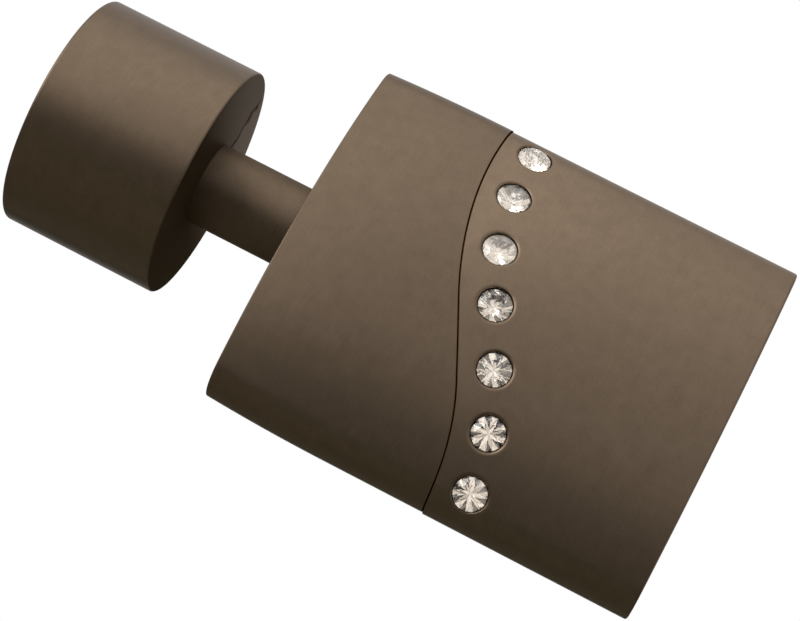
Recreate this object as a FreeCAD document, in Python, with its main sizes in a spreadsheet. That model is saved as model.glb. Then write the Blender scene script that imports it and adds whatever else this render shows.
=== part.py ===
"""Curtain pole finial: a turned socket cap, a round neck and an oval two-part head.

The pole enters the cap from the left, so +X runs along the pole's axis from the
cap's mouth to the head's far end. The origin is the centre of the cap's mouth,
+Z is up along the head's width, and the face with the crystals looks along -Y.
The head is cut in two along an S-shaped seam. A row of faceted crystals follows
that seam, each in its own pocket square to the curved face.
All lengths are millimetres.
"""
import FreeCAD, Part
import math
import os

import Sketcher
from FreeCAD import Placement, Rotation, Vector

DRIVING_SIZES = [
    ("socket_diameter", 28.6),
    ("cap_wall", 1.7),
    ("cap_length", 21.5),
    ("cap_end_wall", 3.5),
    ("cap_edge_break", 0.45),
    ("grub_position", 8.0),
    ("grub_diameter", 3.0),
    ("grub_length", 3.0),
    ("grub_key", 1.5),
    ("grub_key_depth", 1.2),
    ("grub_point", 1.5),
    ("neck_diameter", 11.2),
    ("neck_length", 13.8),
    ("head_length", 60.2),
    ("head_width", 52.2),
    ("head_thickness", 19.2),
    ("head_tip_radius", 5.0),
    ("crown_length", 17.0),
    ("crown_drop", 0.55),
    ("inner_end_break", 0.45),
    ("outer_end_break", 0.55),
    ("seam_start", 18.0),
    ("seam_crest_height", 20.5),
    ("seam_upper_radius", 51.7),
    ("seam_angle", 26.0),
    ("seam_straight", 10.75),
    ("seam_lower_radius", 33.2),
    ("seam_gap", 0.1),
    ("seam_drop", 0.18),
    ("seam_edge_break", 0.12),
    ("screw_diameter", 5.0),
    ("screw_length", 50.0),
    ("screw_head_diameter", 9.8),
    ("screw_recess", 0.2),
    ("screw_key", 3.0),
    ("screw_key_depth", 2.0),
    ("screw_clearance", 0.25),
    ("thread_clearance", 0.05),
    ("thread_run_out", 2.0),
    ("pin_diameter", 3.0),
    ("pin_length", 12.0),
    ("pin_height", 14.0),
    ("pin_clearance", 0.02),
    ("pin_end_room", 0.3),
    ("crystal_diameter", 4.45),
    ("crystal_crown", 0.55),
    ("crystal_girdle", 0.12),
    ("crystal_table", 2.5),
    ("crystal_recess", 0.35),
    ("crystal_clearance", 0.1),
    ("crystal_offset", 4.62),
    ("pocket_lip", 0.4),
]

# Angles of the crystals' facets, in degrees from the plane of the girdle.
CRYSTAL_ANGLES = [
    ("star_angle", 18.0),
    ("upper_girdle_angle", 37.0),
    ("pavilion_angle", 41.0),
    ("lower_girdle_angle", 42.5),
]

# Height of each crystal's centre on the face, from the upper edge down.
CRYSTAL_HEIGHTS = [
    ("crystal_height_1", 22.3),
    ("crystal_height_2", 14.7),
    ("crystal_height_3", 6.65),
    ("crystal_height_4", -0.6),
    ("crystal_height_5", -8.25),
    ("crystal_height_6", -15.6),
    ("crystal_height_7", -22.9),
]

MAIN_FACETS = 8
GIRDLE_FACETS = 16
FACET_MARGIN = 1.0
CUT_MARGIN = 3.0
TURN_BETWEEN_CRYSTALS = 17.0
CROWN_STEPS = 2

doc = FreeCAD.newDocument("curtain_pole_finial")


def make_sheet():
    """Write every driving size into the spreadsheet under its own alias."""
    table = doc.addObject("Spreadsheet::Sheet", "sizes")
    rows = DRIVING_SIZES + CRYSTAL_ANGLES + CRYSTAL_HEIGHTS
    for row, (name, value) in enumerate(rows, start=1):
        table.set("A%d" % row, name)
        table.set("B%d" % row, str(value))
        table.setAlias("B%d" % row, name)
    doc.recompute()
    return table


sheet = make_sheet()


class Size:
    """A length together with the spreadsheet expression that gives it."""

    def __init__(self, value, text):
        self.value = value
        self.text = text

    def __add__(self, other):
        return Size(self.value + other.value, "(%s + %s)" % (self.text, other.text))

    def __sub__(self, other):
        return Size(self.value - other.value, "(%s - %s)" % (self.text, other.text))

    def __mul__(self, factor):
        return Size(self.value * factor, "(%s * %.9f)" % (self.text, factor))

    def __truediv__(self, factor):
        return self * (1.0 / factor)

    def __neg__(self):
        return self * -1.0


def size(name):
    return Size(float(sheet.get(name)), "sizes.%s" % name)


def bind(thing, prop, length):
    """Set a property and tie it to the spreadsheet."""
    thing.setExpression(prop, length.text)


def constant(value):
    return Size(value, "%.9f" % value)


ZERO = constant(0.0)

socket_radius = size("socket_diameter") / 2
cap_radius = socket_radius + size("cap_wall")
socket_floor = size("cap_length") - size("cap_end_wall")
head_start = size("cap_length") + size("neck_length")
head_end = head_start + size("head_length")
half_width = size("head_width") / 2
half_thickness = size("head_thickness") / 2
tip_radius = size("head_tip_radius")
screw_radius = size("screw_diameter") / 2
screw_hole_radius = screw_radius + size("screw_clearance")
screw_start = socket_floor + size("screw_recess")
screw_tip = screw_start + size("screw_length")
crystal_radius = size("crystal_diameter") / 2
pocket_radius = crystal_radius + size("crystal_clearance")


def new_body(label):
    body = doc.addObject("PartDesign::Body", label)
    body.Label = label
    return body


def origin_feature(body, role):
    for feature in body.Origin.OriginFeatures:
        if feature.Role == role:
            return feature
    raise ValueError("no origin feature " + role)


def new_sketch(body, name, role, along_normal=None):
    """A sketch on one of the body's own origin planes, moved along its normal if asked."""
    sketch = body.newObject("Sketcher::SketchObject", name)
    sketch.AttachmentSupport = [(origin_feature(body, role), "")]
    sketch.MapMode = "FlatFace"
    if along_normal is not None:
        bind(sketch, "AttachmentOffset.Base.z", along_normal)
    return sketch


def constrain(sketch, length, *arguments):
    """Add a dimension whose value follows the spreadsheet."""
    index = sketch.addConstraint(Sketcher.Constraint(*arguments, length.value))
    sketch.setExpression("Constraints[%d]" % index, length.text)


def pin_down(sketch, geometry, position, across, up):
    """Fix a point of the sketch at its two coordinates."""
    if across.value == 0.0:
        sketch.addConstraint(Sketcher.Constraint("PointOnObject", geometry, position, -2))
    else:
        constrain(sketch, across, "DistanceX", -1, 1, geometry, position)
    if up.value == 0.0:
        sketch.addConstraint(Sketcher.Constraint("PointOnObject", geometry, position, -1))
    else:
        constrain(sketch, up, "DistanceY", -1, 1, geometry, position)


def draw_polygon(sketch, points):
    """A closed outline of straight lines through points given as pairs of sizes."""
    spots = [Vector(across.value, up.value, 0) for across, up in points]
    lines = []
    for start, end in zip(spots, spots[1:] + spots[:1]):
        lines.append(sketch.addGeometry(Part.LineSegment(start, end), False))
    for line, following in zip(lines, lines[1:] + lines[:1]):
        sketch.addConstraint(Sketcher.Constraint("Coincident", line, 2, following, 1))
    for line, (across, up) in zip(lines, points):
        pin_down(sketch, line, 1, across, up)
    return lines


def draw_circle(sketch, across, up, radius):
    circle = Part.Circle(Vector(across.value, up.value, 0), Vector(0, 0, 1), radius.value)
    index = sketch.addGeometry(circle, False)
    pin_down(sketch, index, 3, across, up)
    constrain(sketch, radius, "Radius", index)


def around(radius, degrees):
    """The point at this radius and angle, with coordinates on an axis set to nothing."""
    across = ZERO if degrees % 180.0 == 90.0 else radius * math.cos(math.radians(degrees))
    up = ZERO if degrees % 180.0 == 0.0 else radius * math.sin(math.radians(degrees))
    return across, up


def draw_hexagon(sketch, across_flats):
    """The outline of a hexagon key socket centred on the sketch's origin."""
    corner = across_flats / math.sqrt(3.0)
    draw_polygon(sketch, [around(corner, 60.0 * step) for step in range(6)])


def revolve(body, sketch, axis, name, cut=False):
    kind = "PartDesign::Groove" if cut else "PartDesign::Revolution"
    feature = body.newObject(kind, name)
    feature.Profile = sketch
    feature.ReferenceAxis = (sketch, [axis])
    feature.Angle = 360
    return feature


def pad(body, sketch, length, name):
    feature = body.newObject("PartDesign::Pad", name)
    feature.Profile = sketch
    bind(feature, "Length", length)
    return feature


def pocket_through(body, sketch, name, both_sides=False, reverse=False):
    feature = body.newObject("PartDesign::Pocket", name)
    feature.Profile = sketch
    feature.Type = "ThroughAll"
    feature.Midplane = both_sides
    feature.Reversed = reverse
    return feature


def pocket_blind(body, sketch, length, name, both_sides=False, reverse=False):
    feature = body.newObject("PartDesign::Pocket", name)
    feature.Profile = sketch
    feature.Type = "Length"
    feature.Midplane = both_sides
    feature.Reversed = reverse
    bind(feature, "Length", length)
    return feature


def edge_names(shape, wanted):
    """Names of the edges whose geometry passes the test."""
    return ["Edge%d" % number for number, edge in enumerate(shape.Edges, start=1) if wanted(edge)]


def break_edges(body, base, width, wanted, name):
    """Take the sharpness off the chosen edges with a narrow chamfer."""
    doc.recompute()
    feature = body.newObject("PartDesign::Chamfer", name)
    feature.Base = (base, edge_names(base.Shape, wanted))
    bind(feature, "Size", width)
    return feature


def in_plane_x(position):
    """A test for edges that lie whole in the plane at this x."""

    def test(edge):
        box = edge.BoundBox
        return abs(box.XMin - position) < 1e-4 and abs(box.XMax - position) < 1e-4

    return test


def make_end_cap():
    """Turned cup that slides over the pole's end, with a countersunk hole in its floor."""
    body = new_body("end_cap")
    sketch = new_sketch(body, "cap_section", "XZ_Plane")
    sink_radius = size("screw_head_diameter") / 2 + size("screw_recess") + size("screw_clearance")
    sink_end = socket_floor + sink_radius - screw_hole_radius
    draw_polygon(sketch, [
        (ZERO, socket_radius),
        (ZERO, cap_radius),
        (size("cap_length"), cap_radius),
        (size("cap_length"), screw_hole_radius),
        (sink_end, screw_hole_radius),
        (socket_floor, sink_radius),
        (socket_floor, socket_radius),
    ])
    cup = revolve(body, sketch, "H_Axis", "turned_cup")

    def outer_rim(edge):
        flat = in_plane_x(0.0)(edge) or in_plane_x(size("cap_length").value)(edge)
        return flat and abs(edge.BoundBox.ZMax - cap_radius.value) < 1e-4

    break_edges(body, cup, size("cap_edge_break"), outer_rim, "broken_rims")
    doc.recompute()
    hole = new_sketch(body, "grub_hole_circle", "XZ_Plane")
    draw_circle(hole, size("grub_position"), ZERO,
                size("grub_diameter") / 2 + size("thread_clearance"))
    pocket_through(body, hole, "grub_hole")
    return body


def make_grub_screw():
    """Socket set screw at the back of the cap, backed out until its point is flush inside."""
    body = new_body("grub_screw")
    radius = size("grub_diameter") / 2
    point = size("grub_point") / 2
    sketch = new_sketch(body, "grub_section", "XZ_Plane")
    draw_polygon(sketch, [
        (ZERO, ZERO),
        (point, ZERO),
        (radius, radius - point),
        (radius, size("grub_length")),
        (ZERO, size("grub_length")),
    ])
    revolve(body, sketch, "V_Axis", "turned_grub")
    key = new_sketch(body, "grub_key_outline", "XY_Plane", size("grub_length"))
    draw_hexagon(key, size("grub_key"))
    pocket_blind(body, key, size("grub_key_depth"), "grub_key_socket")
    body.Placement = Placement(Vector(), Rotation(Vector(1, 0, 0), -90))
    bind(body, "Placement.Base.x", size("grub_position"))
    bind(body, "Placement.Base.y", socket_radius)
    return body


def make_fixing_screw():
    """Countersunk socket screw that draws the cap, the neck and both head parts together."""
    body = new_body("fixing_screw")
    head_radius = size("screw_head_diameter") / 2
    sketch = new_sketch(body, "screw_section", "XZ_Plane")
    draw_polygon(sketch, [
        (ZERO, ZERO),
        (ZERO, head_radius),
        (head_radius - screw_radius, screw_radius),
        (size("screw_length"), screw_radius),
        (size("screw_length"), ZERO),
    ])
    revolve(body, sketch, "H_Axis", "turned_screw")
    key = new_sketch(body, "screw_key_outline", "YZ_Plane")
    draw_hexagon(key, size("screw_key"))
    pocket_blind(body, key, size("screw_key_depth"), "screw_key_socket", reverse=True)
    bind(body, "Placement.Base.x", screw_start)
    return body


def make_neck():
    """Round spacer between the cap and the head, bored for the fixing screw."""
    body = new_body("neck_spacer")
    sketch = new_sketch(body, "neck_section", "YZ_Plane", size("cap_length"))
    draw_circle(sketch, ZERO, ZERO, size("neck_diameter") / 2)
    draw_circle(sketch, ZERO, ZERO, screw_hole_radius)
    pad(body, sketch, size("neck_length"), "neck_bar")
    return body


def face_radius(width, thickness):
    """Radius of the broad faces that runs tangent into the rounded tips."""
    reach = width.value - tip_radius.value
    value = (reach ** 2 + thickness.value ** 2 - tip_radius.value ** 2)
    value /= 2 * (thickness.value - tip_radius.value)
    text = "((%s - %s)^2 + %s^2 - %s^2) / (2 * (%s - %s))" % (
        width.text, tip_radius.text, thickness.text, tip_radius.text,
        thickness.text, tip_radius.text)
    return Size(value, text)


def draw_oval(sketch, width, thickness, centre_height):
    """Oval of two broad arcs and two tip arcs, each running tangent into the next."""
    broad = face_radius(width, thickness)
    reach = width - tip_radius
    turn = math.asin(reach.value / (broad.value - tip_radius.value))
    normal = Vector(0, 0, 1)
    level = centre_height.value
    shift = broad.value - thickness.value

    def arc(across, up, radius, start, end):
        circle = Part.Circle(Vector(across, up, 0), normal, radius)
        return sketch.addGeometry(Part.ArcOfCircle(circle, start, end), False)

    right = arc(-shift, level, broad.value, -turn, turn)
    top = arc(0, level + reach.value, tip_radius.value, turn, math.pi - turn)
    left = arc(shift, level, broad.value, math.pi - turn, math.pi + turn)
    bottom = arc(0, level - reach.value, tip_radius.value, math.pi + turn, 2 * math.pi - turn)
    ring = [right, top, left, bottom]
    for first, second in zip(ring, ring[1:] + ring[:1]):
        sketch.addConstraint(Sketcher.Constraint("Tangent", first, 2, second, 1))
    pin_down(sketch, top, 3, ZERO, centre_height + reach)
    pin_down(sketch, bottom, 3, ZERO, centre_height - reach)
    constrain(sketch, tip_radius, "Radius", top)
    sketch.addConstraint(Sketcher.Constraint("Equal", top, bottom))
    constrain(sketch, broad, "Radius", right)
    sketch.addConstraint(Sketcher.Constraint("Equal", right, left))


class Seam:
    """The S-shaped line of the cut, seen from the front: an arc, a straight and an arc."""

    def __init__(self):
        self.slope = math.radians(size("seam_angle").value)
        self.upper = size("seam_upper_radius").value
        self.lower = size("seam_lower_radius").value
        self.straight = size("seam_straight").value
        lean = math.sin(self.slope)
        upright = math.cos(self.slope)
        crest = Vector(head_start.value + size("seam_start").value, 0,
                       size("seam_crest_height").value)
        self.upper_centre = crest + Vector(self.upper, 0, 0)
        self.bend_top = self.upper_centre + Vector(-self.upper * upright, 0, -self.upper * lean)
        self.bend_bottom = self.bend_top + Vector(self.straight * lean, 0,
                                                  -self.straight * upright)
        self.lower_centre = self.bend_bottom + Vector(-self.lower * upright, 0,
                                                      -self.lower * lean)
        self.foot = self.lower_centre + Vector(self.lower, 0, 0)

    def x_at(self, height, offset=0.0):
        """Where a line at this distance outside the seam stands at the given height."""
        side = Vector(math.cos(self.slope), 0, math.sin(self.slope)) * offset
        top = self.bend_top + side
        bottom = self.bend_bottom + side
        if height > top.z:
            reach = self.upper - offset
            return self.upper_centre.x - math.sqrt(reach ** 2 - (height - self.upper_centre.z) ** 2)
        if height > bottom.z:
            return top.x + (top.z - height) * math.tan(self.slope)
        reach = self.lower + offset
        rise = max(height - self.lower_centre.z, 0.0)
        return self.lower_centre.x + math.sqrt(reach ** 2 - rise ** 2)


seam = Seam()


def draw_seam_region(sketch, far_side):
    """Closed region on one side of the seam, out to the vertical line at far_side."""
    limit = half_width.value + CUT_MARGIN
    high = half_width + constant(CUT_MARGIN)
    normal = Vector(0, 0, 1)

    def flat(point):
        return Vector(point.x, point.z, 0)

    rise = math.asin((limit - seam.upper_centre.z) / seam.upper)
    upper = Part.ArcOfCircle(Part.Circle(flat(seam.upper_centre), normal, seam.upper),
                             math.pi - rise, math.pi + seam.slope)
    lower = Part.ArcOfCircle(Part.Circle(flat(seam.lower_centre), normal, seam.lower),
                             0.0, seam.slope)
    first = sketch.addGeometry(upper, False)
    slope_line = sketch.addGeometry(
        Part.LineSegment(flat(seam.bend_top), flat(seam.bend_bottom)), False)
    last = sketch.addGeometry(lower, False)
    foot = flat(seam.foot)
    bottom = Vector(foot.x, -limit, 0)
    top = upper.StartPoint
    far = far_side.value
    foot_line = sketch.addGeometry(Part.LineSegment(foot, bottom), False)
    low_line = sketch.addGeometry(Part.LineSegment(bottom, Vector(far, -limit, 0)), False)
    side_line = sketch.addGeometry(
        Part.LineSegment(Vector(far, -limit, 0), Vector(far, limit, 0)), False)
    high_line = sketch.addGeometry(Part.LineSegment(Vector(far, limit, 0), top), False)
    sketch.addConstraint([
        Sketcher.Constraint("Tangent", first, 2, slope_line, 1),
        Sketcher.Constraint("Tangent", slope_line, 2, last, 2),
        Sketcher.Constraint("Tangent", last, 1, foot_line, 1),
        Sketcher.Constraint("Coincident", foot_line, 2, low_line, 1),
        Sketcher.Constraint("Coincident", low_line, 2, side_line, 1),
        Sketcher.Constraint("Coincident", side_line, 2, high_line, 1),
        Sketcher.Constraint("Coincident", high_line, 2, first, 1),
        Sketcher.Constraint("Vertical", foot_line),
        Sketcher.Constraint("Horizontal", low_line),
        Sketcher.Constraint("Vertical", side_line),
        Sketcher.Constraint("Horizontal", high_line),
    ])
    crest = head_start + size("seam_start")
    constrain(sketch, crest + size("seam_upper_radius"), "DistanceX", -1, 1, first, 3)
    constrain(sketch, size("seam_crest_height"), "DistanceY", -1, 1, first, 3)
    constrain(sketch, size("seam_upper_radius"), "Radius", first)
    constrain(sketch, size("seam_lower_radius"), "Radius", last)
    constrain(sketch, size("seam_straight"), "Distance", slope_line)
    lean = Size(seam.slope - math.pi / 2, "(sizes.seam_angle - 90) * 1 deg")
    constrain(sketch, lean, "Angle", slope_line)
    constrain(sketch, far_side, "DistanceX", -1, 1, side_line, 1)
    constrain(sketch, -high, "DistanceY", -1, 1, side_line, 1)
    constrain(sketch, high, "DistanceY", -1, 1, side_line, 2)


def on_seam(shift):
    """A test for the edges where the seam cut meets the head's outside."""

    def test(edge):
        middle = edge.valueAt((edge.FirstParameter + edge.LastParameter) / 2)
        box = edge.BoundBox
        along_thickness = box.YLength > 0.9 * edge.Length
        return abs(middle.x - shift - seam.x_at(middle.z)) < 1e-3 and not along_thickness

    return test


def cut_pin_holes(body):
    """Two dowel holes across the seam, the same in both head parts."""
    for label, sign in (("upper", 1), ("lower", -1)):
        height = size("pin_height") * sign
        place = constant(seam.x_at(height.value))
        sketch = new_sketch(body, label + "_pin_circle", "YZ_Plane", place)
        draw_circle(sketch, ZERO, height, size("pin_diameter") / 2 + size("pin_clearance"))
        pocket_blind(body, sketch, size("pin_length") + size("pin_end_room") * 2,
                     label + "_pin_hole", both_sides=True)


def make_inner_body():
    """Plain part of the head next to the neck, slightly crowned towards its end."""
    body = new_body("inner_body")
    edge = size("inner_end_break")
    outline = [(ZERO, size("crown_drop") + edge)]
    for step in range(CROWN_STEPS + 1):
        share = step / CROWN_STEPS
        outline.append((edge * (1.0 - share) + size("crown_length") * share,
                        size("crown_drop") * (1.0 - share) ** 2))
    sections = []
    for step, (place, drop) in enumerate(outline):
        sketch = new_sketch(body, "crown_section_%d" % step, "YZ_Plane", head_start + place)
        draw_oval(sketch, half_width - drop, half_thickness - drop, ZERO)
        sections.append(sketch)
    doc.recompute()
    loft = body.newObject("PartDesign::AdditiveLoft", "crowned_end")
    loft.Profile = sections[0]
    loft.Sections = sections[1:]
    loft.Ruled = True
    straight = new_sketch(body, "straight_section", "YZ_Plane",
                          head_start + size("crown_length"))
    draw_oval(straight, half_width, half_thickness, ZERO)
    bar = pad(body, straight, size("head_length") - size("crown_length"), "straight_bar")
    doc.recompute()
    region = new_sketch(body, "beyond_seam", "XZ_Plane")
    draw_seam_region(region, head_end + constant(CUT_MARGIN))
    cut = pocket_through(body, region, "seam_cut", both_sides=True)
    break_edges(body, cut, size("seam_edge_break"), on_seam(0.0), "broken_seam_edge")
    hole = new_sketch(body, "screw_hole_circle", "YZ_Plane")
    draw_circle(hole, ZERO, ZERO, screw_hole_radius)
    pocket_through(body, hole, "screw_hole", reverse=True)
    cut_pin_holes(body)
    return body


def crystal_places():
    """Surface point, outward angle and number of every crystal along the seam."""
    broad = face_radius(half_width, half_thickness).value
    centre = Vector(0, broad - half_thickness.value, -size("seam_drop").value)
    offset = size("crystal_offset").value + size("seam_gap").value
    places = []
    for name, _ in CRYSTAL_HEIGHTS:
        height = size(name).value
        lift = math.asin((height - centre.z) / broad)
        point = Vector(seam.x_at(height, offset), centre.y - broad * math.cos(lift), height)
        places.append((point, math.degrees(lift)))
    return places


def draw_pocket_section(sketch):
    """Half section of a crystal's pocket: flat floor, straight wall and flared lip."""
    lip = size("pocket_lip")
    depth = size("crystal_recess") + size("crystal_girdle") + pocket_radius
    above = constant(FACET_MARGIN)
    outline = [
        (ZERO, -depth),
        (pocket_radius, -depth),
        (pocket_radius, -lip),
        (pocket_radius + lip, ZERO),
        (pocket_radius + lip, above),
        (ZERO, above),
    ]
    draw_polygon(sketch, outline)


def make_outer_body():
    """Far part of the head, with the crystals' pockets beside the seam."""
    body = new_body("outer_body")
    start = head_start + size("seam_start") - constant(CUT_MARGIN)
    sketch = new_sketch(body, "bar_section", "YZ_Plane", start)
    draw_oval(sketch, half_width, half_thickness, -size("seam_drop"))
    pad(body, sketch, head_end - start, "oval_bar")
    doc.recompute()
    region = new_sketch(body, "before_seam", "XZ_Plane")
    draw_seam_region(region, head_start)
    bind(region, "AttachmentOffset.Base.x", size("seam_gap"))
    cut = pocket_through(body, region, "seam_cut_outer", both_sides=True)
    ends = break_edges(body, cut, size("outer_end_break"), in_plane_x(head_end.value),
                       "broken_far_end")
    break_edges(body, ends, size("seam_edge_break"), on_seam(size("seam_gap").value),
                "broken_seam_edge_outer")
    doc.recompute()
    for number, (point, lift) in enumerate(crystal_places(), start=1):
        section = new_sketch(body, "pocket_section_%d" % number, "YZ_Plane")
        draw_pocket_section(section)
        section.AttachmentOffset = Placement(Vector(point.y, point.z, point.x),
                                             Rotation(Vector(0, 0, 1), 90 - lift))
        revolve(body, section, "V_Axis", "crystal_pocket_%d" % number, cut=True)
    hole = new_sketch(body, "thread_circle", "YZ_Plane")
    draw_circle(hole, ZERO, ZERO, screw_radius + size("thread_clearance"))
    pocket_blind(body, hole, screw_tip + size("thread_run_out"), "threaded_hole", reverse=True)
    cut_pin_holes(body)
    return body


def make_pin(label, sign):
    """Dowel pin that keeps the two head parts in line at the seam."""
    body = new_body(label)
    sketch = new_sketch(body, label + "_circle", "YZ_Plane", -size("pin_length") / 2)
    draw_circle(sketch, ZERO, ZERO, size("pin_diameter") / 2)
    pad(body, sketch, size("pin_length"), label + "_bar")
    height = size("pin_height") * sign
    bind(body, "Placement.Base.x", constant(seam.x_at(height.value)))
    bind(body, "Placement.Base.z", height)
    return body


def facet_family(body, name, count, first_angle, radius, level, slope, upward):
    """Cut one ring of flat facets: a wedge through the stone, repeated round its axis.

    The facet's plane passes through the point at this radius and level. Its slope is
    measured from the girdle's plane, towards the table or towards the culet.
    """
    side = 1 if upward else -1
    rise = math.tan(math.radians(slope.value))
    outer = radius.value + FACET_MARGIN
    peak = Vector(0, level.value + side * rise * radius.value, 0)
    foot = Vector(outer, level.value - side * rise * FACET_MARGIN, 0)
    slope_text = "tan(%s * 1 deg)" % slope.text
    peak_level = Size(peak.y, "(%s + %d * %s * %s)" % (level.text, side, slope_text, radius.text))
    foot_level = Size(foot.y, "(%s - %d * %s * %.3f)" % (level.text, side, slope_text,
                                                         FACET_MARGIN))
    top = peak_level + constant(side * FACET_MARGIN)
    reach = radius + constant(FACET_MARGIN)
    sketch = new_sketch(body, name + "_wedge", "XZ_Plane")
    draw_polygon(sketch, [(ZERO, peak_level), (reach, foot_level), (reach, top), (ZERO, top)])
    sketch.AttachmentOffset = Placement(Vector(), Rotation(Vector(0, 1, 0), first_angle))
    first = pocket_through(body, sketch, name + "_first", both_sides=True)
    ring = body.newObject("PartDesign::PolarPattern", name + "_ring")
    ring.Originals = [first]
    ring.Axis = (origin_feature(body, "Z_Axis"), [""])
    ring.Angle = 360
    ring.Occurrences = count
    body.Tip = ring
    return ring


def make_first_crystal(label):
    """Faceted stone with a flat table above, a point below and its girdle at the origin."""
    body = new_body(label)
    girdle = size("crystal_girdle")
    crown = size("crystal_crown")
    table = size("crystal_table") / 2
    depth = girdle + crystal_radius
    sketch = new_sketch(body, label + "_blank", "XY_Plane", -depth)
    corner_step = 360.0 / GIRDLE_FACETS
    draw_polygon(sketch, [
        around(crystal_radius, corner_step * step) for step in range(GIRDLE_FACETS)
    ])
    pad(body, sketch, depth + crown, label + "_prism")
    main_step = 360.0 / MAIN_FACETS
    girdle_flat = crystal_radius * math.cos(math.radians(corner_step / 2))
    star_flat = table * math.cos(math.radians(main_step / 2))
    main_slope = Size(math.degrees(math.atan(crown.value / (crystal_radius - table).value)),
                      "(atan(%s / (%s - %s)) / 1 deg)" % (crown.text, crystal_radius.text,
                                                         table.text))
    facet_family(body, label + "_main", MAIN_FACETS, 0.0, table, crown, main_slope, True)
    facet_family(body, label + "_star", MAIN_FACETS, main_step / 2, star_flat, crown,
                 size("star_angle"), True)
    facet_family(body, label + "_upper", GIRDLE_FACETS, corner_step / 2, girdle_flat, ZERO,
                 size("upper_girdle_angle"), True)
    facet_family(body, label + "_lower", GIRDLE_FACETS, corner_step / 2, girdle_flat, -girdle,
                 size("lower_girdle_angle"), False)
    facet_family(body, label + "_pavilion", MAIN_FACETS, 0.0, crystal_radius, -girdle,
                 size("pavilion_angle"), False)
    return body


def make_like(label, original):
    """A body of its own with the same form as an earlier one."""
    body = new_body(label)
    copy = body.newObject("PartDesign::FeatureBase", label + "_form")
    copy.BaseFeature = original
    copy.Placement = original.Placement
    body.Tip = copy
    return body


def make_crystals():
    """Seven equal stones, each square to the face where it sits and turned its own way."""
    stones = [make_first_crystal("crystal_1")]
    places = crystal_places()
    doc.recompute()
    for number in range(2, len(places) + 1):
        stones.append(make_like("crystal_%d" % number, stones[0]))
    for number, (stone, (point, lift)) in enumerate(zip(stones, places), start=1):
        outward = Rotation(Vector(1, 0, 0), 90 - lift)
        sunk = outward.multVec(Vector(0, 0, -size("crystal_recess").value))
        turn = Rotation(Vector(0, 0, 1), TURN_BETWEEN_CRYSTALS * number)
        stone.Placement = Placement(point + sunk, outward * turn)
    return stones


def check_document(pieces):
    """Stop if any object failed to build or any piece isn't one sound solid."""
    for item in doc.Objects:
        if "Invalid" in item.State or "Error" in item.State:
            raise RuntimeError("failed: " + item.Name)
    for piece in pieces:
        if piece.Shape.isNull() or not piece.Shape.isValid():
            raise RuntimeError("unsound shape: " + piece.Label)
        if len(piece.Shape.Solids) != 1:
            raise RuntimeError("not one solid: " + piece.Label)


def main():
    pieces = [
        make_end_cap(),
        make_grub_screw(),
        make_fixing_screw(),
        make_neck(),
        make_inner_body(),
        make_outer_body(),
        make_pin("upper_pin", 1),
        make_pin("lower_pin", -1),
    ]
    pieces += make_crystals()
    doc.recompute()
    check_document(pieces)
    os.makedirs("parts", exist_ok=True)
    for piece in pieces:
        piece.Shape.exportStep("parts/%s.step" % piece.Label)
        box = piece.Shape.BoundBox
        print("%-14s volume %9.2f  x %6.2f to %6.2f  z %6.2f to %6.2f" % (
            piece.Label, piece.Shape.Volume, box.XMin, box.XMax, box.ZMin, box.ZMax))


main()
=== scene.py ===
# %% [markdown]
# # A curtain pole finial in satin brown metal
# The finial closes the end of a curtain pole. A turned cap slides over the pole, a short
# round neck stands on the cap, and an oval head is screwed to the neck. The head is cut in
# two along an S-shaped seam, and seven faceted crystals follow that seam. The measured model
# is loaded first, because every piece below is made at the place that it gives. The finial's
# sizes are written in millimetres, and MM turns them into Blender's metres.

# %% Load the measured model
import math

import bmesh
import bpy
from mathutils import Matrix, Vector
from mathutils.geometry import delaunay_2d_cdt, normal


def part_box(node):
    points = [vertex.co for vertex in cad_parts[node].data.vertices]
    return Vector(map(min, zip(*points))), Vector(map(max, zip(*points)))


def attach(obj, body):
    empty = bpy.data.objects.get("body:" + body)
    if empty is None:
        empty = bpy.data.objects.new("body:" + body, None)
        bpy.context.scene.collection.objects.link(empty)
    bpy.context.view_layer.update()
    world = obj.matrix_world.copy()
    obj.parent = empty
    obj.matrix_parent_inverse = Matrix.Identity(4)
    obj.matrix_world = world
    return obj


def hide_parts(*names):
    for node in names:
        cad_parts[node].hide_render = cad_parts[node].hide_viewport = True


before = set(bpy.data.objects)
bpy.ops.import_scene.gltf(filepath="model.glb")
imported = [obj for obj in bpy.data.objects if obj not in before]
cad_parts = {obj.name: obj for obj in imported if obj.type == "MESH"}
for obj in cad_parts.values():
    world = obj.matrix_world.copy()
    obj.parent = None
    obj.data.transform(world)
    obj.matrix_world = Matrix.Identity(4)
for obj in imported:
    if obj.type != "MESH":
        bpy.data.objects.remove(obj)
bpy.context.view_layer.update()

MM = 0.001
print("nodes:", sorted(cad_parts))

# %% [markdown]
# ## The camera
# The photograph was taken with a long lens from below, looking up by twenty degrees, with the
# pole's axis sloping down to the right. A camera could be aimed by eye, but then every outline
# would be slightly off. Its place and its three axes were worked out from the outlines of the
# cap and the head, so they are written down as they are.

# %% Set the camera
CAMERA_PLACE = Vector((83.779, -297.161, -116.095)) * MM
CAMERA_RIGHT = Vector((0.885824, -0.077966, 0.457424))
CAMERA_DOWN = Vector((0.453104, 0.357910, -0.816454))
CAMERA_AHEAD = Vector((-0.100061, 0.930496, 0.352372))
PICTURE_WIDTH = 800
FOCAL_PIXELS = 2467.74
SENSOR_WIDTH = 36.0
NEAREST_SHOWN = 10 * MM


def new_object(name, data):
    """An object of the scene that shows this mesh, lamp or camera."""
    made = bpy.data.objects.new(name, data)
    bpy.context.scene.collection.objects.link(made)
    return made


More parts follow.
